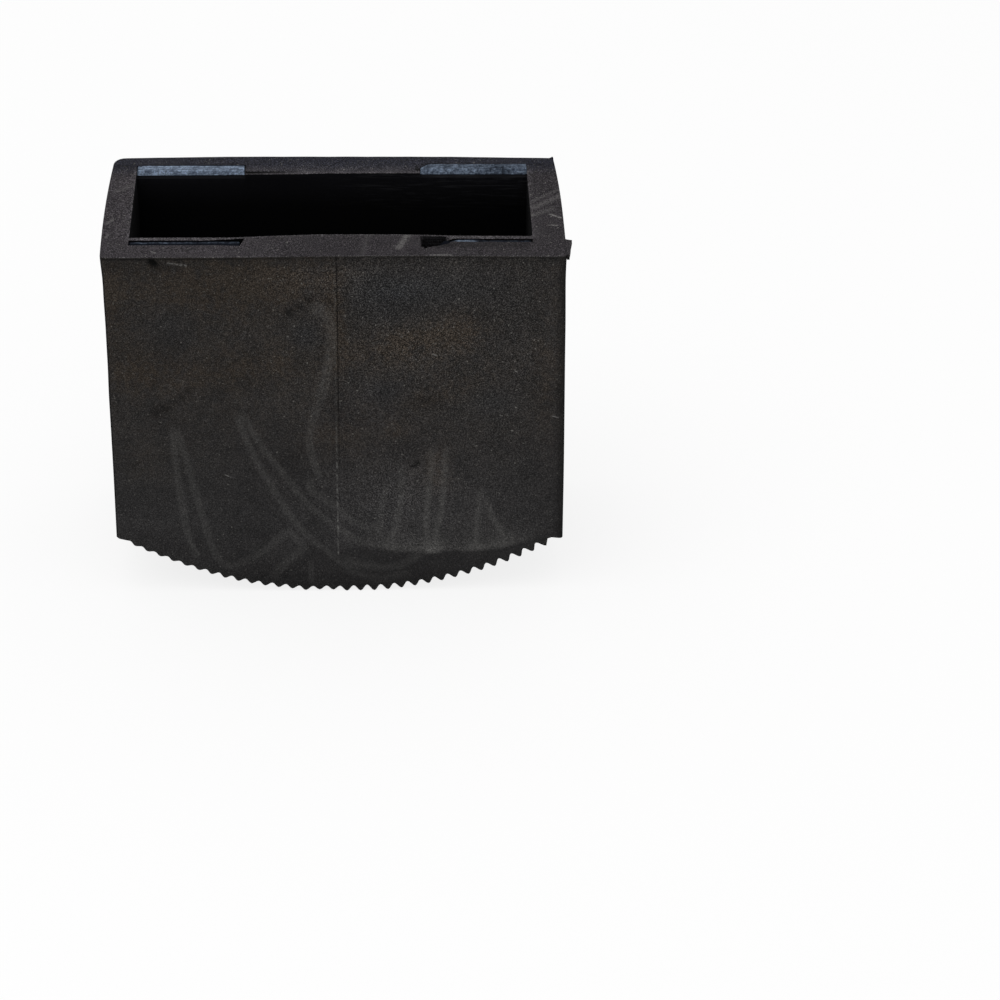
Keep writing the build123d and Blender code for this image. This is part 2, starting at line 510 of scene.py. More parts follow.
def paint(mesh, name, values):
    """Store one number per point of a mesh, for its material to read."""
    attribute = mesh.attributes.new(name, "FLOAT", "POINT")
    attribute.data.foreach_set("value", np.asarray(values, np.float32))


def finish_piece(obj, finish, angle):
    """Outward normals, smooth shading up to an angle in degrees, and the material."""
    edit(obj)
    bpy.ops.mesh.select_all(action="SELECT")
    bpy.ops.mesh.dissolve_degenerate(threshold=EXACT / 2 * MM)
    bpy.ops.mesh.normals_make_consistent(inside=False)
    leave_edit()
    bpy.ops.object.shade_smooth_by_angle(angle=math.radians(angle))
    modifier = obj.modifiers.new("weighted_normals", "WEIGHTED_NORMAL")
    modifier.keep_sharp = True
    bpy.ops.object.modifier_apply(modifier=modifier.name)
    obj.data.materials.append(finish)


# Node helpers


class Value:
    """What a node gives out. Arithmetic on it adds nodes to its tree."""

    def __init__(self, socket):
        self.socket = socket

    def __add__(self, other):
        return calc("ADD", self, other)

    def __sub__(self, other):
        return calc("SUBTRACT", self, other)

    def __rsub__(self, other):
        return calc("SUBTRACT", other, self)

    def __mul__(self, other):
        return calc("MULTIPLY", self, other)

    def __truediv__(self, other):
        return calc("DIVIDE", self, other)

    def __rtruediv__(self, other):
        return calc("DIVIDE", other, self)

    def __rpow__(self, other):
        return calc("POWER", other, self)


def fill(node, inputs):
    """Link or set inputs of a node."""
    for key, value in inputs.items():
        if isinstance(value, Value):
            node.id_data.links.new(value.socket, node.inputs[key])
        else:
            node.inputs[key].default_value = value


def put(kind, inputs, out=0, tree=None, **settings):
    """Add a node to a tree, or else to the one that its inputs come from. Gives back one output."""
    tree = tree or next(value.socket.id_data for value in inputs.values() if isinstance(value, Value))
    node = tree.nodes.new(kind)
    for name, value in settings.items():
        setattr(node, name, value)
    fill(node, inputs)
    return Value(node.outputs[out])


def calc(operation, a, b):
    return put("ShaderNodeMath", {0: a, 1: b}, operation=operation)


def maximum(a, b):
    return calc("MAXIMUM", a, b)


def vector(operation, a, b, out="Vector"):
    return put("ShaderNodeVectorMath", {0: a, 1: b}, out, operation=operation)


def scaled(a, share):
    return put("ShaderNodeVectorMath", {0: a, "Scale": share}, operation="SCALE")


def clouds(place, detail, roughness=0.5, scale=1.0):
    """Soft noise, about half in the middle."""
    inputs = {"Vector": place, "Scale": scale, "Detail": detail, "Roughness": roughness}
    return put("ShaderNodeTexNoise", inputs)


def ramp(value, low, high, start=0.0, end=1.0):
    """Even slope from start to end while the value goes from low to high."""
    inputs = {"Value": value, "From Min": low, "From Max": high, "To Min": start, "To Max": end}
    return put("ShaderNodeMapRange", inputs, interpolation_type="SMOOTHSTEP")


def spread(mask, start, end):
    """From start to end while a mask goes from 0 to 1."""
    return ramp(mask, 0, 1, start, end)


def blend(factor, first, second, how="MIX"):
    """Mix of two colours."""
    return put("ShaderNodeMix", {0: factor, 6: first, 7: second}, 2, data_type="RGBA", blend_type=how)


def tone(colour, factor):
    """A colour made lighter or darker."""
    return blend(1.0, colour, factor, "MULTIPLY")


def bump(height, strength, distance):
    inputs = {"Height": height, "Strength": strength, "Distance": distance * MM}
    return put("ShaderNodeBump", inputs)


# Effects that the finishes share, each in a node group


def new_group(name, knobs):
    """Start a node group with number or vector inputs and one number as output. Gives back the inputs."""
    tree = bpy.data.node_groups.new(name, "ShaderNodeTree")
    for socket, value in knobs.items():
        kind = "NodeSocketVector" if isinstance(value, tuple) else "NodeSocketFloat"
        tree.interface.new_socket(socket, in_out="INPUT", socket_type=kind).default_value = value
    tree.interface.new_socket("Value", in_out="OUTPUT", socket_type="NodeSocketFloat")
    outputs = tree.nodes.new("NodeGroupInput").outputs
    return [Value(outputs[socket]) for socket in knobs]


def end_group(value):
    """End a node group with its output. Gives back the group."""
    tree = value.socket.id_data
    fill(tree.nodes.new("NodeGroupOutput"), {"Value": value})
    return tree


def use_group(group, **inputs):
    return put("ShaderNodeGroup", inputs, node_tree=group)


def make_cloud_group(name, detail, roughness):
    """Noise of a given size, spread over 0 to 1 between two of its levels."""
    knobs = {"Vector": (0, 0, 0), "Size": 1.0, "Low": 0.25, "High": 0.75}
    place, size, low, high = new_group(name, knobs)
    return end_group(ramp(clouds(scaled(place, 1.0 / size), detail, roughness), low, high))


def make_streak_group():
    """Lines drawn out along X."""
    place, length, width = new_group("streaks", {"Vector": (0, 0, 0), "Length": 8.0, "Width": 0.4})
    shape = put("ShaderNodeCombineXYZ", {0: width / length, 1: 1.0, 2: 1.0})
    drawn_out = vector("MULTIPLY", scaled(place, 1.0 / width), shape)
    return end_group(ramp(clouds(drawn_out, 4, 0.65), 0.3, 0.7))


def make_scratch_group():
    """One straight scratch between two places, broken up a little along its length."""
    knobs = {"Vector": (0, 0, 0), "Start": (0, 0, 0), "End": (1, 0, 0), "Width": 0.2}
    place, start, end, width = new_group("scratch", knobs)
    run, reach = vector("SUBTRACT", end, start), vector("SUBTRACT", place, start)
    along = vector("DOT_PRODUCT", reach, run, "Value") / vector("DOT_PRODUCT", run, run, "Value")
    share = put("ShaderNodeClamp", {0: along})
    gap = vector("DISTANCE", reach, scaled(run, share), "Value")
    breaks = ramp(clouds(place, 2, scale=2.5), 0.35, 0.55)
    return end_group(ramp(gap, 0.0, width, 1.0, 0.0) * breaks)


MOTTLE = make_cloud_group("mottle", 3, 0.55)
GRAIN = make_cloud_group("grain", 2, 0.6)
SPECKS = make_cloud_group("specks", 1, 0.5)
STREAKS = make_streak_group()
SCRATCH = make_scratch_group()


def mottle(place, size, softness):
    """Soft cloudy patches of about a given size, from 0 to 1."""
    return use_group(MOTTLE, Vector=place, Size=size, Low=0.5 - softness, High=0.5 + softness)


def grain(place, size):
    """Fine uneven grain from 0 to 1, about half in the middle."""
    return use_group(GRAIN, Vector=place, Size=size)


def specks(place, size, level):
    """Small uneven pale specks of about a given size. A higher level leaves fewer of them."""
    return use_group(SPECKS, Vector=place, Size=size, Low=level, High=level + 0.1)


def streaks(place, length, width):
    """Drawn-out lines along X, from 0 to 1."""
    return use_group(STREAKS, Vector=place, Length=length, Width=width)


def add_scratches(colour, place, marks, axes, mask, pale=SCRATCH_PALE):
    """Pale broken scratches over a colour where a mask allows, on faces that run along the axes with a 1."""
    flat = vector("MULTIPLY", place, axes)
    for start, end, width, strength in marks:
        ends = [(u, v * axes[1], v * axes[2]) for u, v in (start, end)]
        line = use_group(SCRATCH, Vector=flat, Start=ends[0], End=ends[1], Width=width)
        colour = blend(line * strength * mask, colour, pale)
    return colour


# Finishes


def new_finish(name):
    """A material, and the place on the object in millimetres."""
    material = bpy.data.materials.new(name)
    material.use_nodes = True
    place = put("ShaderNodeTexCoord", {}, "Object", material.node_tree)
    return material, scaled(place, 1 / MM)


def attribute(material, name):
    return put("ShaderNodeAttribute", {}, "Fac", material.node_tree, attribute_name=name)


def end_finish(material, inputs):
    fill(material.node_tree.nodes["Principled BSDF"], inputs)
    return material


def make_rubber_finish():
    """Matte black rubber: warm and cool patches, grain, pale bloom with painted highlights on some edges, a
    greyer rim, painted shade in creases and under the rim, and a black inside painted as shade.
    """
    material, place = new_finish("moulded_rubber")
    rim, inside, bloom, wiped, seam, painted_shade, warm, level, coarse, front = (
        attribute(material, name) for name in RUBBER_MASKS
    )
    across, back, height = (put("ShaderNodeSeparateXYZ", {0: place}, axis) for axis in "XYZ")

    patches, flecks = mottle(place, 3.6, 0.3), mottle(place, 1.1, 0.3)
    mixed = spread(patches, 0.2, 0.8) + spread(flecks, 0.1, 0.9)
    face = blend((warm * mixed + COOLEST) / (1 + COOLEST), COOL_RUBBER, WARM_RUBBER)
    face = tone(tone(face, spread(patches, 0.9, 1.1)), level)
    face = blend(wiped * 0.75, face, WIPED_RUBBER)
    # Pale bloom; on the outer and mouth edges of the rim it is partly a painted highlight
    worn_and_lit = bloom * spread(grain(place, 0.6), 0.6, 1.4)
    face = blend(worn_and_lit, face, FRONT_BLOOM)

    top = blend(mottle(place, 4.0, 0.25), RIM_DARK, RIM_PALE)
    top = tone(top, ramp(across, *RIM_DARKER_X, 1.0, 0.78))
    top = blend(ramp(back, *RIM_BACK_Y, 0.0, 0.85), top, RIM_BACK)
    colour = blend(rim, face, blend(worn_and_lit, top, RIM_BLOOM))

    fine = grain(place, 0.19)
    colour = tone(colour, 2.0 ** ((fine - 0.5) * coarse * 2.8))
    dots = maximum(specks(place, 0.3, 0.64) * 0.25, specks(place, 0.55, 0.7) * 0.6)
    colour = blend(dots * coarse, colour, SPECK_PALE)
    colour = add_scratches(colour, place, RIM_SCRATCHES, (1, 1, 0), rim)
    colour = add_scratches(colour, place, FRONT_SCRATCHES, (1, 0, 1), front)
    # Painted shade: black along the parting groove and the crease, and wherever shade is painted under the
    # rim, at corners, in hollows and beside the slots
    colour = blend(seam, colour, SHADE_BLACK)
    colour = blend(painted_shade * 0.95, colour, SHADE_BLACK)

    # Inside: near black painted as shade, a little lighter where light is painted falling in at the top of
    # the back, and rubbed lines near the top
    lines = ramp(streaks(place, 6.0, 0.22), 0.55, 1.0)
    rubbed = lines * ramp(height, *RUBBED_Z) * ramp(across, *RUBBED_X)
    lit = ramp(height, *LIT_Z) * ramp(back, *LIT_Y)
    deep = blend(rubbed, blend(lit, SOCKET_DEEP, SOCKET_LIT), SOCKET_RUBBED)
    return end_finish(material, {
        "Base Color": blend(inside, colour, deep),
        "Roughness": maximum(spread(patches, 0.82, 0.68), inside),
        "Specular IOR Level": 0.05,
        "Normal": bump(fine, 0.25, 0.04),
    })


def make_plate_finish():
    """Dull zinc on sheet steel: blue-grey streaks lengthways, painted light that makes the upright faces
    lighter and the rest darker, and near black where rubber has rubbed off on it and as painted shade in the
    slots.
    """
    material, place = new_finish("zinc_sheet")
    upright, stain_and_shade = attribute(material, "upright"), attribute(material, "stain_and_shade")
    lines, crumbs = streaks(place, 3.0, 0.45), grain(place, 0.3)
    swirls, blotches = mottle(place, 1.2, 0.2), mottle(place, 0.8, 0.2)
    shade = spread(lines, 0.3, 1.0) * spread(swirls, 0.45, 1.0) * spread(crumbs, 0.4, 1.6)
    # Painted light: faces marked upright are made lighter, the rest darker
    colour = tone(blend(shade, ZINC_DARK, ZINC_PALE), spread(upright, 0.74, 2.0))
    # Near black where rubber has rubbed off, and as painted shade and glints on the front plates
    rubbed = stain_and_shade + stain_and_shade * (1.0 - stain_and_shade) * spread(blotches, -0.9, 0.9)
    return end_finish(material, {
        "Base Color": blend(rubbed, colour, RUBBED_AND_SHADED_ZINC),
        "Metallic": spread(rubbed, 0.5, 0.0),
        "Roughness": spread(lines, 0.62, 0.5),
        "Specular IOR Level": 0.0,
        "Normal": bump(crumbs, 0.3, 0.04),
    })


def make_bearing_finish():
    """Mill-finish steel with faint rolling lines, stains and a few scratches."""
    material, place = new_finish("mill_steel")
    lines, stains = streaks(place, 20.0, 0.35), mottle(place, 9.0, 0.3)
    colour = blend(lines, STEEL_DARK, STEEL_PALE)
    colour = tone(colour, spread(mottle(place, 1.2, 0.25), 0.86, 1.04))
    colour = blend(stains * 0.22, colour, STEEL_STAIN)
    return end_finish(material, {
        "Base Color": add_scratches(colour, place, BEARING_SCRATCHES, (1, 1, 0), 1.0, STEEL_SCRATCH),
        "Metallic": 0.9,
        "Roughness": spread(stains, 0.46, 0.54),
        "Normal": bump(lines, 0.2, 0.03),
    })


# Boot


def slot_of(plate):
    """Plan of the slot that a wall plate stands in: x range and y range."""
    low, high = in_mm(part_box(plate))
    if high.x < 0:
        return (low.x, high.x + END_GAPS[plate]), (low.y, high.y)
    return (low.x - END_GAPS[plate], high.x), (low.y, high.y)


SLOTS = {plate: slot_of(plate) for plate in PLATES}
FRONT_SLOT_Y = SLOTS["front_left_plate"][1]
BACK_SLOT_Y = SLOTS["back_left_plate"][1]


def tread_outline():
    """x and z along the sole from left to right: a flat ledge, the wave of teeth and another ledge."""
    count = 2 * TEETH_EACH_SIDE * TOOTH_SAMPLES
    wave = np.arange(count + 1) / TOOTH_SAMPLES - TEETH_EACH_SIDE
    steps = wave + TOOTH_PHASE
    depth = along_points(TOOTH_DEPTHS, steps)
    wear = along_points(TIP_WEAR, steps)
    radius = SOLE_RADIUS - wear - depth * (0.5 + 0.5 * np.cos(2 * np.pi * wave))
    x = radius * np.sin(steps * TOOTH_ANGLE)
    z = SOLE_RADIUS - radius * np.cos(steps * TOOTH_ANGLE)
    ends_x = [-HALF_WIDTH, *x, HALF_WIDTH]
    ends_z = [LEFT_LEDGE_Z, *z, RIGHT_LEDGE_Z]
    return np.array(ends_x), np.array(ends_z)


def grid_lines(wanted, others, clearance):
    """Sorted grid lines: every wanted one, and the others that keep clear of those."""
    wanted = sorted(set(np.round(wanted, 4)))
    kept = [v for v in others if min(abs(v - w) for w in wanted) > clearance]
    return np.array(sorted([*wanted, *kept]))


def boot_lines():
    """Grid lines of the boot's plan in x and y, and of its walls in z from the rim down."""
    ends = np.array([0, 0.3, 0.6, 0.95, 1.4, 2.0, 2.7])
    seam = PARTING_X + np.array([-1, 0, 1]) * PARTING_WIDTH
    bead = BEAD_X + np.array([-1, 0, 1]) * BEAD_WIDTH
    slot_ends = [x for (x_range, _) in SLOTS.values() for x in x_range]
    wanted_x = [*(HALF_WIDTH - ends), *(ends - HALF_WIDTH), *seam, *bead, *SOCKET_X, *slot_ends]
    xs = grid_lines(wanted_x, tread_outline()[0], 0.2)

    crease = SOCKET_Y[1] + CREASE_GAP + np.array([-0.42, -0.3, 0.3, 0.42])
    tear = FRONT_SLOT_Y[0] - np.array([0.3, 0.6, 0.9, 1.2, 1.5])
    wanted_y = [
        *(HALF_DEPTH - ends), *(ends - HALF_DEPTH), *SOCKET_Y, *FRONT_SLOT_Y, *BACK_SLOT_Y, *crease, *tear,
        *(SOCKET_Y[0] - np.array([0.35, 0.45, 0.8])),
        BACK_SLOT_Y[1] + 0.3, BACK_SLOT_Y[1] + 0.9,
    ]
    even = np.arange(-HALF_DEPTH - EXACT / 10, HALF_DEPTH, 2.2)
    ys = grid_lines(wanted_y, even, 0.6)

    top = RIM_Z - np.array([0, 0.25, 0.5, 0.75, 1.0, 1.4, 1.8, 2.3, 2.8, 3.4])
    upper = np.linspace(top[-1] - 0.8, 36, 28)
    lower = np.linspace(35.3, 0.6, 52)
    zs = np.array([*top, *upper, *lower, 0])
    return xs, ys, zs


def within(point, x_range, y_range):
    return x_range[0] < point.x < x_range[1] and y_range[0] < point.y < y_range[1]


def block_out_boot():
    """A block with a fine grid over it, the socket and slots pushed in and its mouth edges bevelled."""
    xs, ys, zs = boot_lines()
    bpy.ops.object.select_all(action="DESELECT")
    bpy.ops.mesh.primitive_grid_add(
        x_subdivisions=len(xs) - 1, y_subdivisions=len(ys) - 1, size=MM, location=(0, 0, RIM_Z * MM)
    )
    boot = new_piece("boot_moulding")
    co = read_points(boot.data)
    column = np.rint((co[:, 0] + 0.5) * (len(xs) - 1)).astype(int)
    line = np.rint((co[:, 1] + 0.5) * (len(ys) - 1)).astype(int)
    write_points(boot.data, np.column_stack([xs[column], ys[line], co[:, 2]]))

    edit(boot)
    bpy.ops.mesh.select_all(action="SELECT")
    extrude(z=-RIM_Z)
    choose_edges(boot, lambda a, b, angle: abs(a.z - b.z) > RIM_Z / 2)
    bpy.ops.mesh.subdivide(number_cuts=len(zs) - 2)
    bpy.ops.mesh.select_all(action="SELECT")
    bpy.ops.mesh.normals_make_consistent(inside=False)
    leave_edit()
    co = read_points(boot.data)
    row = np.rint((1 - co[:, 2] / RIM_Z) * (len(zs) - 1)).astype(int)
    co[:, 2] = zs[row]
    write_points(boot.data, co)

    edit(boot)
    sink_socket_and_slots(boot)
    draw_out_flash(boot)
    bevel(boot, MOUTH_BEVEL, 2, mouth_or_sole_edge)
    leave_edit()
    return boot


def sink_socket_and_slots(boot):
    """Push the socket and the four slots down from the rim, leaving a thin lip beside each slot."""
    def sink(ranges, level, steps):
        choose_faces(
            boot,
            lambda c, n: n.z > 0.9 and abs(c.z - level) < EXACT and any(within(c, *r) for r in ranges),
        )
        for step in steps:
            extrude(z=-step)

    back_strips = [
        (SLOTS[plate][0], (SOCKET_Y[1], BACK_SLOT_Y[1])) for plate in PLATES if plate.startswith("back")
    ]
    lowered = RIM_Z - BACK_LIP_DROP
    slot_depth = RIM_Z - in_mm(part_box("back_left_plate"))[0].z
    sink([(SOCKET_X, SOCKET_Y), *back_strips], RIM_Z, [BACK_LIP_DROP])
    sink([(SOCKET_X, SOCKET_Y)], lowered, [*SOCKET_STEPS, lowered - SOCKET_FLOOR - sum(SOCKET_STEPS)])
    for plate, slot in SLOTS.items():
        if plate.startswith("back"):
            sink([slot], lowered, [slot_depth - BACK_LIP_DROP])
        else:
            sink([slot], RIM_Z, [*FRONT_SLOT_STEPS, slot_depth - sum(FRONT_SLOT_STEPS)])


def draw_out_flash(boot):
    """Pull a thin fin out of the right wall just under the rim, near the front."""
    choose_faces(
        boot,
        lambda c, n: n.x > 0.9 and c.x > HALF_WIDTH - EXACT
        and FLASH_Y[0] < c.y < FLASH_Y[1] and c.z > RIM_Z - FLASH_DROP,
    )
    extrude(x=FLASH_OUT[0])


def mouth_or_sole_edge(start, end, angle):
    """Level sharp edges round the rim, the mouths in it and the sole."""
    level = abs(start.z - end.z) < EXACT
    on_flash = max(start.x, end.x) > HALF_WIDTH + EXACT
    sharp = angle > math.radians(40)
    return level and sharp and not on_flash and (start.z > RIM_Z - 1.3 or start.z < 0.1)


def round_corner(co, side_x, side_y, radius):
    """Turn one square upright corner into a quarter round, carrying the points inside it along."""
    u = (side_x * co[:, 0] - HALF_WIDTH + radius) / radius
    v = (side_y * co[:, 1] - HALF_DEPTH + radius) / radius
    inside = (u > 0) & (v > 0) & (u < 1.001)
    major, minor = np.maximum(u, v), np.minimum(u, v)
    turn = np.pi / 4 * np.divide(minor, major, out=np.zeros_like(major), where=inside)
    far, near = major * np.cos(turn), major * np.sin(turn)
    new_u, new_v = np.where(u >= v, far, near), np.where(u >= v, near, far)
    co[inside, 0] = side_x * (HALF_WIDTH - radius + radius * new_u[inside])
    co[inside, 1] = side_y * (HALF_DEPTH - radius + radius * new_v[inside])


def side_bow(share, bow, narrowing, tuck):
    """How far a short side stands out along its length, from -1 at the front to 1 at the back."""
    return bow * (1 - share**2) - narrowing * (share + 1) / 2 - tuck * np.clip(share, 0, 1) ** 2


def shape_outside(co, rest):
    """Rounded corners, the toothed arc of the sole, and the bowed, leaning and overhanging walls."""
    x, y, z = rest.T
    depth = RIM_Z - z
    for corner in CORNERS:
        round_corner(co, *corner)

    sole = np.interp(x, *tread_outline())
    low = z < SOLE_TOP
    co[low, 2] = (sole + (SOLE_TOP - sole) * z / SOLE_TOP)[low]

    left = x < 0
    edge_x = np.where(left, -SOCKET_X[0], SOCKET_X[1]) + 0.3
    out_x = share_of(edge_x, HALF_WIDTH, np.abs(x))
    share = np.clip(y / HALF_DEPTH, -1, 1)
    bow = np.where(left, side_bow(share, *LEFT_SIDE), side_bow(share, *RIGHT_SIDE))
    flare = np.where(left, *RIM_FLARES) * (1 - smooth(0, 8, depth)) ** 2
    lean = LEAN * (1 - smooth(22, 60, z))
    hollow, fuller = between(15, 22, 8, depth), smooth(3, 16, depth)
    uneven = np.where(left, -LEFT_HOLLOW * hollow, RIGHT_FULLNESS * fuller)
    co[:, 0] += out_x * (np.where(left, -1, 1) * (bow + flare + uneven) + lean)

    front = y < 0
    edge_y = np.where(front, 1 - FRONT_SLOT_Y[0], BACK_SLOT_Y[1] + 0.2)
    out_y = share_of(edge_y, HALF_DEPTH, np.abs(y))
    lip = RIM_OVERHANG * (0.6 + 0.4 * wobble_along(x, 4)) * (1 - smooth(0.2, 0.4, depth))
    swell = along_points(BACK_SWELL, x) * (1 - smooth(0, 40, depth))
    co[:, 1] += out_y * np.where(front, -lip, lip + swell)

    arch = 1 - (x / HALF_WIDTH) ** 2
    front_edge, mouth_edge = along_points(FRONT_RISE, x), along_points(MOUTH_RISE, x)
    rise = front_edge + (mouth_edge - front_edge) * share_of(-HALF_DEPTH, SOCKET_Y[0], y)
    rise += (BACK_RISE[0] * arch - mouth_edge) * share_of(*SOCKET_Y, y)
    rise += (BACK_RISE[1] - BACK_RISE[0]) * arch * share_of(SOCKET_Y[1], HALF_DEPTH, y)
    co[:, 2] += rise * (1 - smooth(0, RISE_DEPTH, depth))

    fin = x > HALF_WIDTH + EXACT
    width = np.interp(y, FLASH_Y, FLASH_OUT) * (1 + 0.12 * wobble(rest, 0.9))
    co[fin, 0] += (width - FLASH_OUT[0])[fin]
    co[fin, 1] -= (FLASH_LAG * (y > FLASH_Y[1] - 0.3))[fin]
    co[fin, 2] -= (FLASH_DROOP * smooth(FLASH_Y[1], FLASH_Y[0], y))[fin]

    tip = np.hypot(x - HALF_WIDTH, y - HALF_DEPTH)
    co[:, 2] += TIP_RISE * (1 - smooth(0, 0.9, tip)) * (depth < 0.2)


def shape_mouth(co, rest):
    """Small shifts of the socket and slot edges in the rim, where the rubber has set unevenly."""
    x, y, z = rest.T
    depth = RIM_Z - z
    on_top, in_lip = depth < EDGE_REACH, depth < LIP_DEPTH
    front_edge, lip_edge = at(FRONT_SLOT_Y[0], y), at(FRONT_SLOT_Y[1], y)

    left_end, right_end = (1 - smooth(EDGE_REACH, 2.5, np.abs(x - end)) for end in SOCKET_X)
    right_out = RIGHT_END_OUT + RIGHT_FRONT_OUT * smooth(SOCKET_Y[1], SOCKET_Y[0], y)
    co[:, 0] += (right_end * right_out - LEFT_END_OUT * left_end) * (1 - smooth(2, 9, depth))

    over_plate = smooth(TEAR_X[1] - 0.3, TEAR_X[1] + 0.8, x) * (x < SOCKET_X[1] + EDGE_REACH)
    uneven = 0.85 + 0.25 * wobble_along(x, 2.5)
    co[:, 1] += SKIN_REACH * (front_edge & on_top) * over_plate * uneven
    torn_end = 1 - smooth(0, 2, np.abs(x - SLOTS["front_right_plate"][0][0]))
    co[:, 0] += TORN_END_SHIFT * torn_end * (y < SOCKET_Y[0] + EDGE_REACH) * (1 - smooth(0, 3, depth))
    bridge = 1 - smooth(0.2, 0.7, np.abs(x - TEAR_X[1] - 0.2))
    right_lip = lip_edge & on_top & (x > TEAR_X[1])
    co[:, 1] += right_lip * (RIGHT_LIP_BACK - BRIDGE_FORWARD * bridge)
    mouth_edge = at(SOCKET_Y[0], y) & in_lip & (x < SOCKET_X[1])
    co[:, 1] -= MOUTH_FORWARD * mouth_edge * smooth(*TEAR_X, x)

    slot_end = SLOTS["front_left_plate"][0][1]
    in_slot = in_lip & (x < slot_end + EDGE_REACH)
    thinned = share_of(SOCKET_Y[0] - 0.45, FRONT_SLOT_Y[1], y) * (y > FRONT_SLOT_Y[1] - EDGE_REACH)
    co[:, 1] += LEFT_LIP_THINNED * thinned * in_slot * smooth(slot_end - 7.5, slot_end - 0.5, x)
    co[:, 1] += LEFT_SLOT_BACK * ((front_edge | lip_edge) & in_slot & (x > SOCKET_X[0] - 0.4))
    co[:, 1] -= LEFT_SLOT_WIDENED * (front_edge & in_slot) * smooth(slot_end - 5, slot_end - 0.6, x)
    slanted = (1 - smooth(0, 2.5, np.abs(x - slot_end))) * (1 - smooth(0, 3, depth))
    co[:, 0] -= slanted * along_points(LEFT_SLOT_SLANT, y)

    back_edge = at(SOCKET_Y[1], y) & in_lip & (x > CREASE_X[0])
    co[:, 1] -= BACK_EDGE_FORWARD * back_edge * smooth(0, -9, x)
    corner_x = SLOTS["back_right_plate"][0][0]
    cut = (1 - share_of(corner_x, corner_x + CORNER_CUT[0], x)) * (x > corner_x - EDGE_REACH)
    co[:, 1] -= CORNER_CUT[1] * cut * at(BACK_SLOT_Y[1], y)


def shape_marks(co, rest):
    """Parting line, crease, torn rubber and dent. Gives back masks of the crease, the tear and the dent."""
    x, y, z = rest.T
    depth = RIM_Z - z
    on_wall = np.where(y < 0, -1, 1) * (np.abs(y) > HALF_DEPTH - EXACT)
    bead = BEAD_HEIGHT * at(BEAD_X, x, EXACT) * (1 - smooth(40, 52, z))
    groove = PARTING_DEPTH * at(PARTING_X, x, EXACT) * smooth(12, 30, z)
    co[:, 1] += on_wall * (bead - groove)

    run = (x > CREASE_X[0]) * (x < CREASE_X[1]) * (1 - share_of(*CREASE_X, x) ** 2) * (depth < EXACT)
    crease = at(SOCKET_Y[1] + CREASE_GAP, y, CREASE_HALF_WIDTH) * run
    co[:, 2] -= CREASE_DEPTH * crease

    ragged = 0.3 * wobble(rest, 0.7)
    back_end = SOCKET_Y[0] - TEAR_BACK
    torn = between(TEAR_X[0], TEAR_X[1] - 0.4, 0.35, x + ragged) * (y < back_end) * (depth < TEAR_REACH)
    torn = torn * smooth(-0.12, 0.12, y - along_points(TEAR_FRONT, x) + 0.5 * ragged)
    steep = np.maximum(smooth(0, 0.4, back_end - y), 0.08)
    co[:, 2] -= TEAR_DEPTH * torn * (1 - depth / TEAR_REACH) * steep

    off_x, off_z = x - DENT[0], z - DENT[1]
    across = np.hypot(off_x + 0.5 * off_z, off_z) + 0.25 * ragged
    dent = (y < -HALF_DEPTH + 0.2) * np.exp(-((across / DENT_REACH) ** 2))
    co[:, 1] += DENT_DEPTH * dent
    return crease, torn, dent


def paint_smears(values, wall, along, height, smears, fade=0):
    """Add bands to the points of one wall."""
    places = np.column_stack([along, height])[wall]
    for route, half_width, strength in smears:
        values[wall] = np.maximum(values[wall], strength * smear(places, route, half_width, fade))


def paint_patches(values, p, patches):
    """Add soft patches to the points of the front."""
    places = np.column_stack([p.seen_x, p.seen_z])[p.front]
    for settings in patches:
        values[p.front] += patch(places, *settings)


class BootPoints:
    """Where the points of the boot were before it was shaped, where they are seen, and on which face."""

    def __init__(self, rest, co):
        self.rest = rest
        self.x, self.y, self.z = rest.T
        self.seen_x, self.seen_y, self.seen_z = co.T
        self.depth = RIM_Z - self.z
        self.on_rim = self.depth < RIM_SKIN
        self.below_rim = ~self.on_rim
        self.front = (self.y < -HALF_DEPTH + RIM_SKIN) & self.below_rim
        self.on_long_wall = (np.abs(self.y) > HALF_DEPTH - EXACT) & self.below_rim
        self.over_wiped = self.seen_z - along_points(WIPED_EDGE, self.seen_x)

    def in_plan(self, x_range, y_range):
        over_x = (self.x > x_range[0] - EXACT) & (self.x < x_range[1] + EXACT)
        return over_x & (self.y > y_range[0] - EXACT) & (self.y < y_range[1] + EXACT)


def find_inside(p, torn):
    """Where black is painted as shade: the socket and slots below the rim and the hole in the torn rubber,
    with a band on the right wall of the socket left lighter as painted light.
    """
    hollow = p.in_plan(SOCKET_X, (SOCKET_Y[0], BACK_SLOT_Y[1]))
    for slot in SLOTS.values():
        hollow |= p.in_plan(*slot)
    inside = (hollow & p.below_rim & (p.z > 1)) * 1.0
    # Painted light: a band low on the right wall of the socket is left lighter
    inside -= 0.4 * inside * at(SOCKET_X[1], p.x, EXACT) * between(9, 13, 2, p.depth) * (p.y < 6)
    return np.maximum(inside, 0.9 * smooth(0.2, 0.55, torn))


def find_worn_and_lit_edges(p):
    """Rim rubbed pale round the mouth of the socket and on the lips beside the front slots, partly painted
    highlight on these edges.
    """
    def fade(gap, reach):
        return (gap > -EXACT) * np.exp(-np.maximum(gap, 0) / reach)

    from_back, from_front = p.y - SOCKET_Y[1], SOCKET_Y[0] - p.y
    from_side = np.maximum(SOCKET_X[0] - p.x, p.x - SOCKET_X[1])
    worn_and_lit = 0.28 * fade(from_back, 1.7) + 0.12 * fade(from_back, 0.5)
    worn_and_lit = (worn_and_lit + 0.22 * fade(from_front, 0.35)) * between(*SOCKET_X, 1, p.x)
    worn_and_lit += 0.2 * fade(from_side, 0.6) * between(*SOCKET_Y, 1, p.y)
    for plate in ("front_left_plate", "front_right_plate"):
        worn_and_lit = np.maximum(worn_and_lit, 0.24 * p.in_plan(SLOTS[plate][0], (FRONT_SLOT_Y[1], SOCKET_Y[0])))
    return (p.depth < 0.1) * worn_and_lit


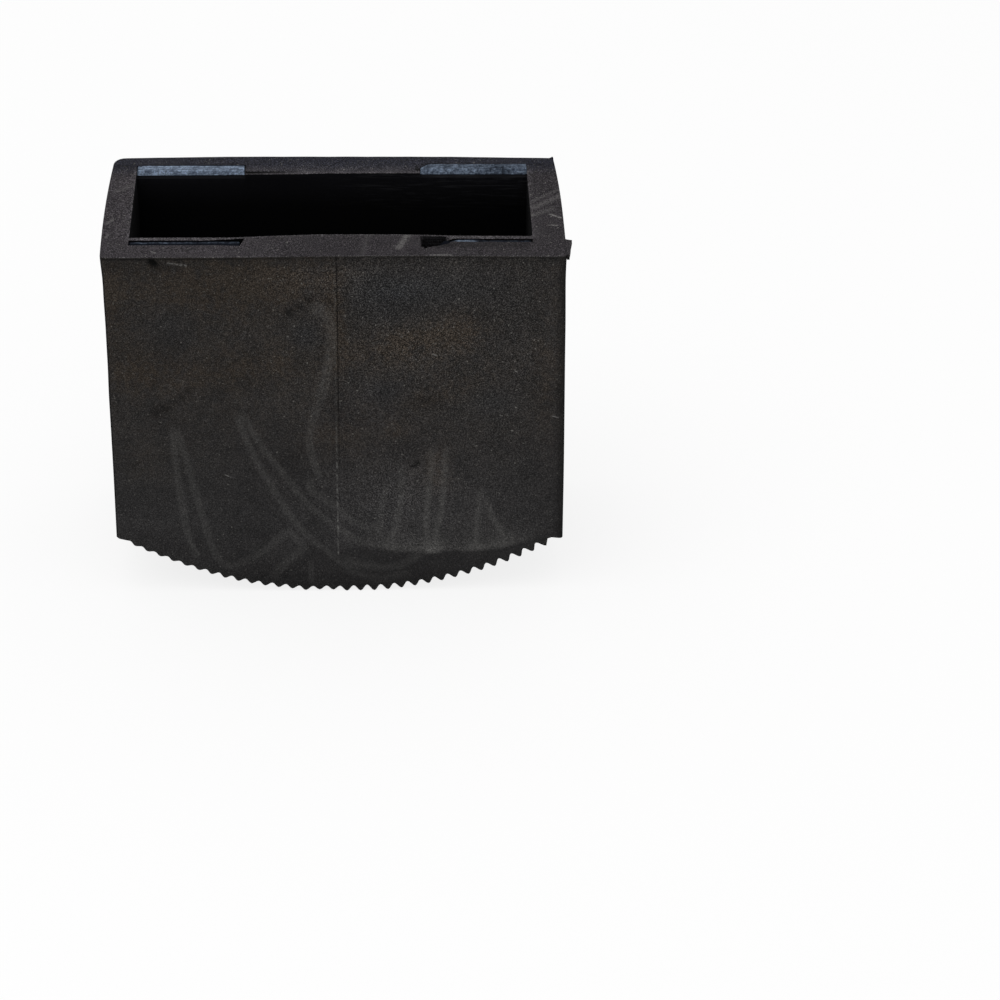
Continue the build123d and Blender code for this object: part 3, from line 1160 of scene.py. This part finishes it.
def find_bloom_and_edge_light(p):
    """Pale bloom: bands on the walls, the bank over the wiped place, the bead of flash, and rubbed pale
    edges that are partly painted highlight.
    """
    bloom = np.zeros(len(p.rest))
    rear = (p.y > HALF_DEPTH - RIM_SKIN) & p.below_rim
    left, right = (p.below_rim & (side * p.x > HALF_WIDTH - RIM_SKIN) for side in (-1, 1))
    paint_smears(bloom, p.front, p.seen_x, p.seen_z, FRONT_SMEARS)
    paint_smears(bloom, p.front, p.seen_x, p.seen_z, FRONT_FANS, FAN_FADE)
    paint_smears(bloom, rear, -p.seen_x, p.seen_z, BACK_SMEARS)
    paint_smears(bloom, left, p.seen_y, p.seen_z, SIDE_SMEARS)
    paint_smears(bloom, right, -p.seen_y, p.seen_z, SIDE_SMEARS)

    banked = along_points(BANKED_BLOOM, p.seen_x) * smooth(-0.5, 0.4, p.over_wiped)
    banked *= p.front * np.exp(-np.clip(p.over_wiped, 0, 30) / 2) * between(2, 38, 1, p.seen_x)
    dotted = smooth(-0.3, 0.35, wobble(p.rest, 1.1))
    fresh = smooth(5, 9, p.seen_z) * (1 - 0.75 * smooth(18, 46, p.z))
    bead = at(BEAD_X, p.x, EXACT) * p.on_long_wall * dotted * fresh
    patchy = smooth(-0.4, 0.6, wobble(p.rest, 3))
    # Painted highlight along the outer edges of the rim and on the edges round the mouth and lips, partly
    # rubbed pale
    outer_edge = (p.depth < 0.2) & (np.abs(p.y) > HALF_DEPTH - 0.2)
    edges = np.maximum(outer_edge * (0.1 + 0.2 * patchy), find_worn_and_lit_edges(p) * (0.6 + 0.6 * patchy))
    return np.maximum.reduce([bloom, banked, bead, edges])


def find_painted_shade(p, dent):
    """Painted shade: under the rim, beside the slots, along the sole, at the corners, in a nick and in the
    dent.
    """
    outer = (np.abs(p.x) > HALF_WIDTH - EXACT) | (np.abs(p.y) > HALF_DEPTH - EXACT)
    # Painted shadow under the overhanging rim edge, stronger to the left, and painted shade just below the
    # rim
    under_rim = outer * between(0.25, 0.5, 0.2, p.depth) * (0.5 + 0.2 * smooth(-10, -30, p.x))
    shaded = 0.26 * outer * (1 - smooth(0.5, 3, p.depth)) * p.below_rim
    # Painted shade on the rim behind the outer parts of the back plates, and in front of the right front
    # slot
    behind = 0.3 * p.on_rim * between(BACK_SLOT_Y[1], BACK_SLOT_Y[1] + 0.3, 0.7, p.y) * (np.abs(p.x) > 16)
    before = between(FRONT_SLOT_Y[0] - 1, FRONT_SLOT_Y[0], 0.9, p.y) * between(16.5, 35, 1, p.x)
    # Painted shade along the sole, down the right edge of the front and over the rounded upright corners
    sole_band = 0.3 * outer * (1 - smooth(1, 6, p.seen_z)) * p.below_rim
    right_shade = 0.5 * p.front * smooth(40.2, 41.8, p.x)
    corners = [
        (side_x * p.x > HALF_WIDTH - EXACT) & (side_y * p.y > HALF_DEPTH - radius) & p.below_rim
        for side_x, side_y, radius in CORNERS
    ]
    # A small hole in the rim beside the back right plate, painted black as shade
    nick_x, nick_y = SLOTS["back_right_plate"][0][0] - 0.4, SOCKET_Y[1] + 1.4
    nick = p.on_rim * (np.hypot(p.x - nick_x, 0.7 * (p.y - nick_y)) < 0.45)
    return np.maximum.reduce([
        under_rim, shaded, behind, 0.36 * p.on_rim * before, sole_band, right_shade, nick,
        0.8 * np.any(corners, axis=0), np.clip(1.5 * dent, 0, 1),
    ])


def find_grain(p, bloom):
    """How coarse the grain is: most on the upper right of the front, least where it is wiped or pale."""
    upper, to_right = smooth(30, 55, p.seen_z), smooth(-22, 12, p.seen_x)
    coarse = 0.8 + 0.22 * upper + (0.25 + 0.2 * upper) * to_right * (1 - smooth(34, 42, p.seen_x))
    paint_patches(coarse, p, SPECKLED_PATCHES)
    coarse *= 1 - 0.45 * smooth(0.3, -0.6, p.over_wiped) * to_right
    coarse *= 1 - 1.5 * np.clip(bloom, 0, 0.3)
    return np.where(p.front, coarse, np.where(p.on_rim, 1.75, 1.2))


def paint_boot(mesh, p, crease, torn, dent):
    """Store the masks that the rubber reads."""
    bloom = find_bloom_and_edge_light(p)
    warm = 0.04 + 0.31 * smooth(15, 50, p.seen_z)
    paint_patches(warm, p, WARM_PATCHES)
    level, rubbed = np.ones(len(p.rest)), np.zeros(len(p.rest))
    paint_patches(level, p, LEVEL_PATCHES)
    paint_smears(rubbed, p.front, p.seen_x, p.seen_z, FRONT_RUBS)
    wiped = p.front * smooth(0.1, -0.45, p.over_wiped) * between(4, 37, 5, p.seen_x)
    arcs = 0.7 + 0.55 * wobble_along(np.hypot(p.seen_x - WIPE_ARCS[0], p.seen_z - WIPE_ARCS[1]), 1.3)
    # Painted shade: black along the parting groove on the long walls and in the crease in the rim
    seam = 0.9 * at(PARTING_X, p.x, EXACT) * p.on_long_wall * smooth(14, 58, p.z)
    masks = {
        "rim": p.depth < 0.03,
        "inside": find_inside(p, torn),
        "bloom": bloom,
        "wiped": wiped * arcs,
        "seam": np.maximum(seam, crease),
        "painted_shade": find_painted_shade(p, dent),
        "warm": np.clip(warm, -COOLEST, 1.2),
        "level": level * (1 - rubbed),
        "coarse": find_grain(p, bloom),
        "front": p.front,
    }
    for name in RUBBER_MASKS:
        paint(mesh, name, masks[name])


def make_boot(finish):
    boot = block_out_boot()
    rest = read_points(boot.data)
    co = rest.copy()
    shape_outside(co, rest)
    shape_mouth(co, rest)
    marks = shape_marks(co, rest)
    write_points(boot.data, co)
    paint_boot(boot.data, BootPoints(rest, co), *marks)
    finish_piece(boot, finish, 50)
    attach(boot, "cap")
    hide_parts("boot")


# Plates


def make_plate(node, finish):
    """One sheet steel wall plate: rounded top corners, softened edges and a slightly uneven sheared top."""
    low, high = in_mm(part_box(node))
    is_front, is_left = node.startswith("front"), high.x < 0
    fit = Vector((PLATE_FIT, PLATE_FIT, PLATE_FIT))
    low, high = low + fit, high - fit
    if is_left:
        low.x -= LEFT_PLATE_OUT
    else:
        high.x += RIGHT_PLATE_OUT
    if is_front:
        high.z += FRONT_PLATE_RISE
    else:
        high.z = RIM_Z + (BACK_LEFT_RISE if is_left else BACK_RIGHT_RISE)
    plate = new_block(node + "_sheet", low, high)
    top = high.z

    def inner_back_corner(a, b, angle):
        return abs(a.z - b.z) > EXACT and a.x < low.x + EXACT and a.y > high.y - EXACT

    def on_top(a, b):
        return min(a.z, b.z) > top - EXACT

    edit(plate)
    if node == "front_right_plate":
        cut_across((low.x + TORN_PLATE_CUT, 0, top), TORN_PLATE_SLOPE, use_fill=True, clear_outer=True)
    if node == "back_right_plate":
        bevel(plate, CORNER_CUT[0], 1, inner_back_corner)
    bevel(plate, TOP_CORNER, 3, lambda a, b, angle: on_top(a, b) and abs(a.x - b.x) < EXACT)
    across = TOP_CORNER if is_front else BACK_TOP_CORNER
    bevel(plate, across, 2, lambda a, b, angle: on_top(a, b) and abs(a.y - b.y) < EXACT)
    bevel(plate, PLATE_EDGE, 1, lambda a, b, angle: angle > math.radians(50))
    for x in np.arange(low.x + 2, high.x - 0.5, CUT_SPACING):
        cut_across((x, 0, 0), (1, 0, 0))
    if is_front:
        for inset in RUBBED_INSETS:
            cut_across((0, high.y - inset, 0), (0, 1, 0))
    leave_edit()

    co = read_points(plate.data)
    x, y, z = co.T
    upper = smooth(top - 1.2, top, z)
    co[:, 2] -= 0.06 * upper * (0.5 + 0.5 * wobble(co, 1.5))
    if node == "front_right_plate":
        co[:, 2] += 0.15 * upper * between(22, 27.4, 0.5, x)
    write_points(plate.data, co)
    # Painted shade over the front plates in their slots, leaving a faint band of bare plate on the front
    # left one and a painted glint on the front right one; on the back plates, darker at the outer back
    # corner of the left one and over most of the right one
    if node == "front_left_plate":
        stain_and_shade = 1 - between(0.25, 0.7, 0.12, high.y - y) * (0.17 + 0.2 * wobble(co, 2))
    elif node == "front_right_plate":
        stain_and_shade = 1 - np.maximum(0.65 * between(22.4, 25.4, 1, x), 0.07 * smooth(26, 28, x))
    elif node == "back_left_plate":
        stain_and_shade = 0.8 * (1 - smooth(0.4, 1.6, np.hypot(x - low.x, y - high.y)))
    else:
        stain_and_shade = 0.44 + 0.26 * smooth(26, 30, x) - 0.3 * smooth(32.4, 33.8, x)
    paint(plate.data, "stain_and_shade", np.clip(stain_and_shade, 0, 1))
    # Painted light: on the back plates the upright front face is made lighter than the top, and on the back
    # left one the back edge of the top a little lighter, most towards its outer end
    upright = (y < low.y + EXACT) * 1.0
    if is_left:
        upright += (y > high.y - 0.13) * (0.1 + 0.3 * smooth(-20, -36, x))
    paint(plate.data, "upright", upright * (not is_front))
    finish_piece(plate, finish, 40)
    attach(plate, "cap")
    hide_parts(node)


def make_bearing_plate(finish):
    """The loose steel plate at the bottom of the socket, with rounded corners and broken edges."""
    plate = new_block("bearing_plate_blank", BEARING_LOW, BEARING_HIGH)
    edit(plate)
    bevel(plate, BEARING_CORNER, 6, lambda a, b, angle: abs(a.z - b.z) > EXACT)
    bevel(
        plate, BEARING_EDGE, 2,
        lambda a, b, angle: angle > math.radians(60) and abs(a.z - b.z) < EXACT,
    )
    leave_edit()
    finish_piece(plate, finish, 40)
    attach(plate, "bearing")
    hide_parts("bearing_plate")


# Stage


def make_camera():
    turn = (
        Matrix.Rotation(-CAMERA_AZIMUTH, 4, "Z")
        @ Matrix.Rotation(math.pi / 2 - CAMERA_ELEVATION, 4, "X")
        @ Matrix.Rotation(CAMERA_ROLL, 4, "Z")
    )
    place = CAMERA_TARGET + turn @ Vector((0, 0, CAMERA_DISTANCE))
    data = bpy.data.cameras.new("camera")
    data.lens = data.sensor_width * FOCAL_PIXELS / IMAGE_SIDE
    data.clip_start = 0.01
    camera = bpy.data.objects.new("camera", data)
    camera.matrix_world = Matrix.Translation(place * MM) @ turn
    bpy.context.scene.collection.objects.link(camera)
    bpy.context.scene.camera = camera


def seen_directly(tree):
    """1 for what the camera sees directly or mirrored, 0 for light that falls on the cap."""
    rays = ("Is Camera Ray", "Is Glossy Ray", "Is Transmission Ray")
    seen, glossy, through = (put("ShaderNodeLightPath", {}, ray, tree) for ray in rays)
    return maximum(seen, maximum(glossy, through))


def make_lights():
    world = bpy.data.worlds.new("studio")
    world.use_nodes = True
    tree = world.node_tree
    strength = spread(seen_directly(tree), WORLD_LIGHT, WORLD_SEEN)
    fill(tree.nodes["Background"], {"Color": WHITE, "Strength": strength})
    bpy.context.scene.world = world

    data = bpy.data.lights.new("key", "AREA")
    data.size = KEY_SIZE * MM
    data.energy = KEY_POWER
    lamp = bpy.data.objects.new("key", data)
    lamp.location = KEY_PLACE * MM
    lamp.rotation_euler = (-KEY_PLACE).to_track_quat("-Z", "Y").to_euler()
    bpy.context.scene.collection.objects.link(lamp)


def make_floor():
    """A matt white floor, seen a little whiter than it is lit, with the cap's shadow kept."""
    bpy.ops.object.select_all(action="DESELECT")
    bpy.ops.mesh.primitive_plane_add(size=FLOOR_SIDE * MM)
    floor = new_piece("floor")
    material = bpy.data.materials.new("floor")
    material.use_nodes = True
    tree = material.node_tree
    shader = tree.nodes["Principled BSDF"]
    fill(shader, {"Base Color": FLOOR_GREY, "Roughness": 0.95, "Specular IOR Level": 0.1})
    white = put("ShaderNodeEmission", {"Color": WHITE, "Strength": 1.0}, tree=tree)
    share = seen_directly(tree) * FLOOR_WHITENED
    mixed = put("ShaderNodeMixShader", {0: share, 1: Value(shader.outputs[0]), 2: white})
    fill(tree.nodes["Material Output"], {"Surface": mixed})
    floor.data.materials.append(material)


bpy.context.scene.view_settings.view_transform = "Standard"
make_boot(make_rubber_finish())
plate_finish = make_plate_finish()
for plate in PLATES:
    make_plate(plate, plate_finish)
make_bearing_plate(make_bearing_finish())
make_camera()
make_lights()
make_floor()
